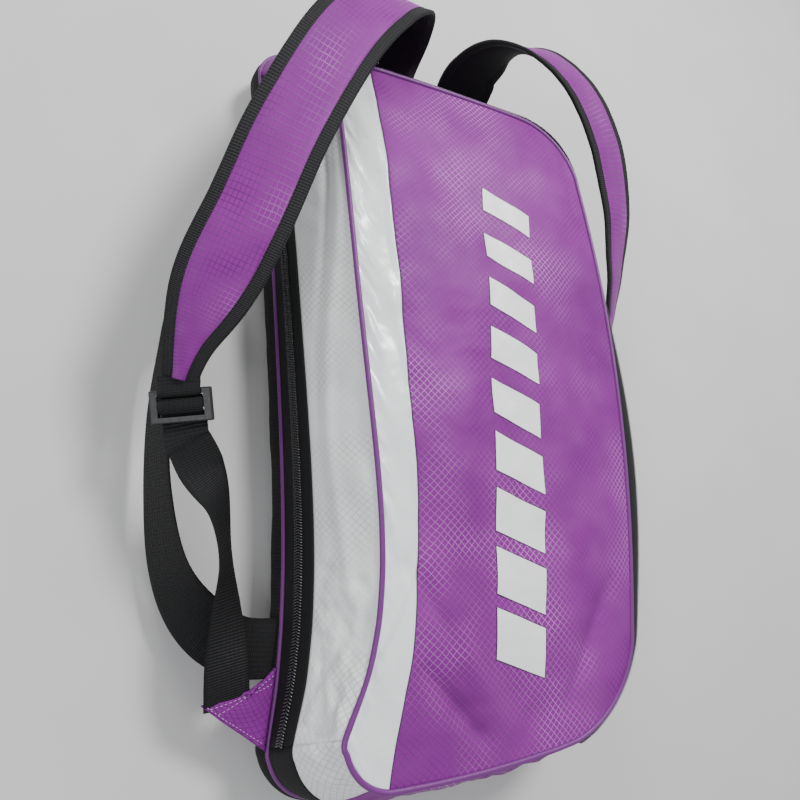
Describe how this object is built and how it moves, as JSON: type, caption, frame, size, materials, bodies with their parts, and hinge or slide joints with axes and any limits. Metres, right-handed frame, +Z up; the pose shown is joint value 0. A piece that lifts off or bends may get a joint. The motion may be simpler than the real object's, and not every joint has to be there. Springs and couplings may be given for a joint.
{
  "type": "racket tournament bag",
  "caption": "Long soft racket bag lying on its back panel, with a zipped front pocket, a zipped main compartment, padded shoulder straps and a webbing carry handle.",
  "frame": {"origin": "middle of the underside of the back panel, on which the bag lies", "axes": "+Y towards the top end with the shoulder-strap roots, +X across the bag with the front face up, +Z up through the front face"},
  "size_m": [0.5744, 0.8078, 0.1782],
  "materials": {
    "purple_ripstop": "woven, satin",
    "white_ripstop": "woven, satin",
    "grey_stripe": "coated, glossy",
    "black_fabric": "woven, matte",
    "black_webbing": "ribbed, matte",
    "nylon_coil": "satin",
    "black_plastic": "moulded",
    "dark_metal": "glossy black",
    "lining": "woven, matte",
    "stiffener": "flat sheet"
  },
  "bodies": {
    "bag_body": {"back_panel": "black_fabric", "back_board": "stiffener", "back_gusset": "black_fabric", "back_piping": "purple_ripstop", "divider": "lining", "right_gusset": "purple_ripstop", "top_gusset": "purple_ripstop", "top_corner_gusset": "purple_ripstop", "bottom_gusset": "purple_ripstop", "main_zip_lower_tape": "black_webbing", "main_zip_lower_coil": "nylon_coil", "main_zip_top_tape": "black_webbing", "main_zip_top_coil": "nylon_coil", "front_zip_body_tape": "black_webbing", "front_zip_body_coil": "nylon_coil", "front_stripe": "grey_stripe", "front_panel": "purple_ripstop", "front_piping": "purple_ripstop", "left_corner_tab": "purple_ripstop", "right_corner_tab": "purple_ripstop", "left_strap_anchor": "black_webbing", "right_strap_anchor": "black_webbing"},
    "front_flap": {"front_flap_panel": "purple_ripstop", "front_flap_piping": "purple_ripstop", "front_zip_flap_tape": "black_webbing", "front_zip_flap_coil": "nylon_coil"},
    "side_flap": {"left_gusset": "white_ripstop", "main_zip_upper_tape": "black_webbing", "main_zip_upper_coil": "nylon_coil"},
    "main_slider_low": {"main_zip_slider_low": "dark_metal"},
    "main_pull_low": {"main_zip_puller_low": "black_plastic"},
    "main_slider_high": {"main_zip_slider_high": "dark_metal"},
    "main_pull_high": {"main_zip_puller_high": "black_plastic"},
    "front_slider": {"front_zip_slider": "dark_metal"},
    "front_pull": {"front_zip_puller": "black_plastic"},
    "left_strap": {"left_shoulder_strap": "purple_ripstop", "left_strap_outer_binding": "black_webbing", "left_strap_inner_binding": "black_webbing", "left_lock_keeper": "black_webbing", "left_adjust_webbing": "black_webbing"},
    "right_strap": {"right_shoulder_strap": "purple_ripstop", "right_strap_outer_binding": "black_webbing", "right_strap_inner_binding": "black_webbing", "right_lock_keeper": "black_webbing", "right_adjust_webbing": "black_webbing"},
    "left_lock": {"left_ladder_lock": "black_plastic"},
    "right_lock": {"right_ladder_lock": "black_plastic"},
    "handle": {"carry_handle": "black_webbing"}
  },
  "joints": [
    {"name": "front_flap_fold", "type": "hinge", "parent": "bag_body", "child": "front_flap", "pos_m": [-0.085, 0.31507, 0.15], "axis": [0.2538, -0.9673, 0], "range_deg": [0, 70]},
    {"name": "side_flap_fold", "type": "hinge", "parent": "bag_body", "child": "side_flap", "pos_m": [-0.1455, 0, 0.136], "axis": [0, 1, 0], "range_deg": [0, 30]},
    {"name": "main_zip_run", "type": "slide", "parent": "bag_body", "child": "main_slider_low", "axis": [0.0044, -1, 0.0056], "range_m": [0, 0.5412]},
    {"name": "main_zip_top_run", "type": "slide", "parent": "bag_body", "child": "main_slider_high", "axis": [-0.0578, 0.9983, -0.0083], "range_m": [0, 0.022]},
    {"name": "front_zip_run", "type": "slide", "parent": "bag_body", "child": "front_slider", "axis": [0.9999, 0.0122, -0.0096], "range_m": [0, 0.1519]},
    {"name": "main_puller_low_swing", "type": "hinge", "parent": "main_slider_low", "child": "main_pull_low", "pos_m": [-0.20256, 0.25024, 0.06798], "axis": [-0.3263, -0.0242, -0.9449], "range_deg": [0, 120]},
    {"name": "main_puller_high_swing", "type": "hinge", "parent": "main_slider_high", "child": "main_pull_high", "pos_m": [-0.20418, 0.2795, 0.06761], "axis": [0.3336, 0.0271, 0.9423], "range_deg": [0, 120]},
    {"name": "front_puller_swing", "type": "hinge", "parent": "front_slider", "child": "front_pull", "pos_m": [-0.10636, 0.33681, 0.12086], "axis": [-0.0232, 0.6981, -0.7156], "range_deg": [0, 120]},
    {"name": "left_strap_swing", "type": "hinge", "parent": "bag_body", "child": "left_strap", "pos_m": [-0.0545, 0.388, 0.05], "axis": [-0.2516, -0.9678, -0.0021], "range_deg": [-24, 0]},
    {"name": "right_strap_swing", "type": "hinge", "parent": "bag_body", "child": "right_strap", "pos_m": [0.0545, 0.388, 0.05], "axis": [-0.2572, 0.9662, 0.016], "range_deg": [-20, 0]},
    {"name": "left_lock_tilt", "type": "hinge", "parent": "left_strap", "child": "left_lock", "pos_m": [-0.28, -0.043, 0.096], "axis": [0.8591, 0.0253, 0.5112], "range_deg": [0, 40]},
    {"name": "right_lock_tilt", "type": "hinge", "parent": "right_strap", "child": "right_lock", "pos_m": [0.24, -0.005, 0.04], "axis": [0.8598, 0.1055, -0.4996], "range_deg": [0, 40]},
    {"name": "handle_swing", "type": "hinge", "parent": "bag_body", "child": "handle", "pos_m": [-0.2, -0.246, 0.044], "axis": [0.0314, -0.9995, 0], "range_deg": [-24, 0]}
  ],
  "couplings": [
    {"joint": "handle_swing", "follows": "left_strap_swing", "ratio": 1}
  ]
}
